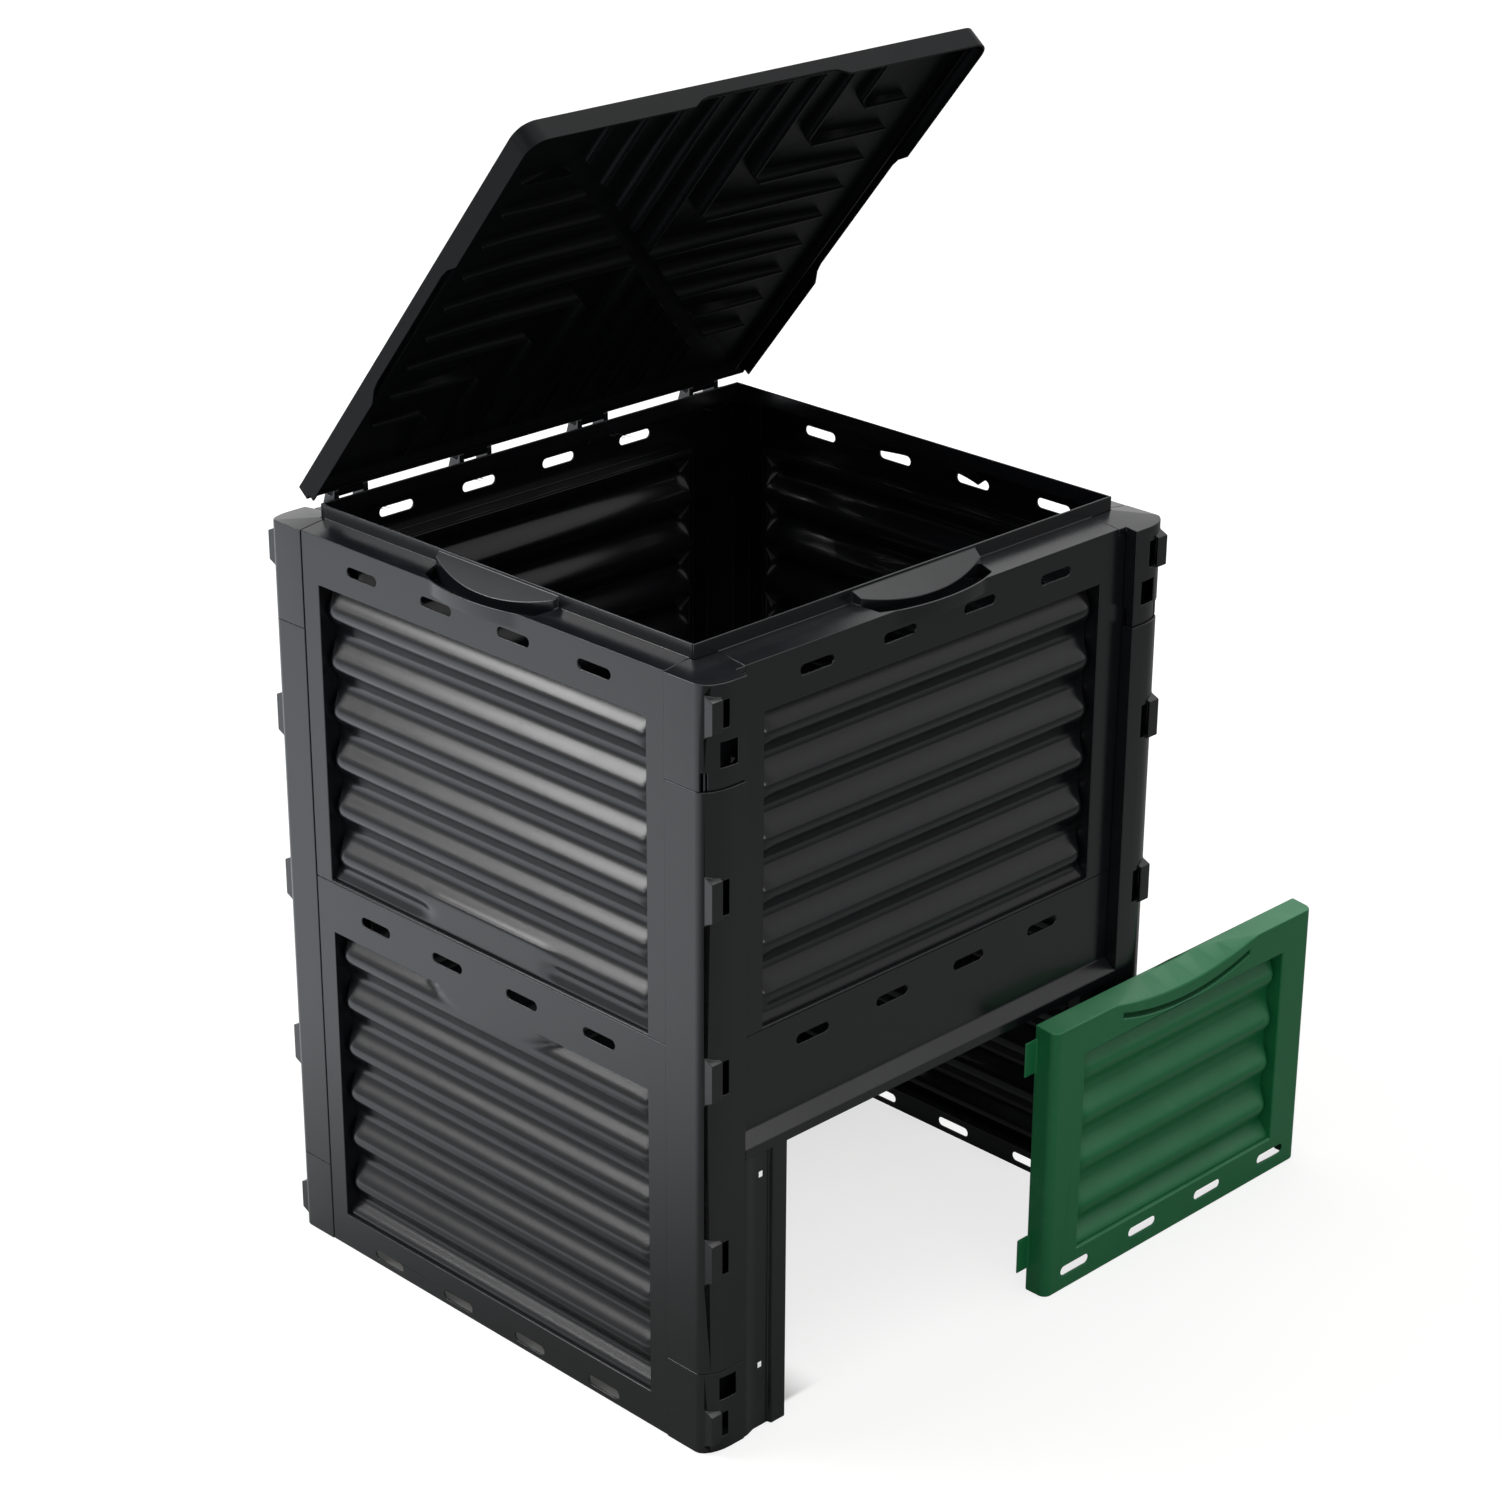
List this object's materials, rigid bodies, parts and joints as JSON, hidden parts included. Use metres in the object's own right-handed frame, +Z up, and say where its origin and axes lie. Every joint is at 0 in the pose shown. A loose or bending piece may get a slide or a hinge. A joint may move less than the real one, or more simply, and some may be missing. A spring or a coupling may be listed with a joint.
{
  "type": "compost bin",
  "caption": "Square garden compost bin of corrugated plastic panels in corner posts, with a hinged lid standing open and a lift-out hatch door beside it.",
  "frame": {"origin": "on the ground, under the middle of the whole object's box as it stands: the bin and the door beside it", "axes": "+Z up; -Y is the front with the hatchway; +X is to the right of someone who looks at the front, where the door stands"},
  "size_m": [0.8744, 0.6504, 1.2197],
  "materials": {
    "black_plastic": "satin moulded polypropylene, lightly grained",
    "green_plastic": "satin moulded polypropylene, lightly grained"
  },
  "bodies": {
    "bin": {"upper_panel_front": "black_plastic", "upper_panel_back": "black_plastic", "upper_panel_left": "black_plastic", "upper_panel_right": "black_plastic", "lower_front_frame": "black_plastic", "lower_panel_back": "black_plastic", "lower_panel_left": "black_plastic", "lower_panel_right": "black_plastic", "top_corner_front_left": "black_plastic", "top_corner_front_right": "black_plastic", "top_corner_back_left": "black_plastic", "top_corner_back_right": "black_plastic", "post_front_left": "black_plastic", "post_front_right": "black_plastic", "post_back_left": "black_plastic", "post_back_right": "black_plastic", "foot_corner_front_left": "black_plastic", "foot_corner_front_right": "black_plastic", "foot_corner_back_left": "black_plastic", "foot_corner_back_right": "black_plastic"},
    "lid": {"lid": "black_plastic"},
    "door": {"door": "green_plastic"}
  },
  "joints": [
    {"name": "lid_hinge", "type": "hinge", "parent": "bin", "child": "lid", "pos_m": [-0.11825, 0.28825, 0.8], "axis": [-1, 0, 0], "range_deg": [-51, 48]},
    {"name": "door_slide", "type": "slide", "parent": "bin", "child": "door", "axis": [-0.9994, 0.0351, 0], "range_m": [0, 0.33321]}
  ]
}
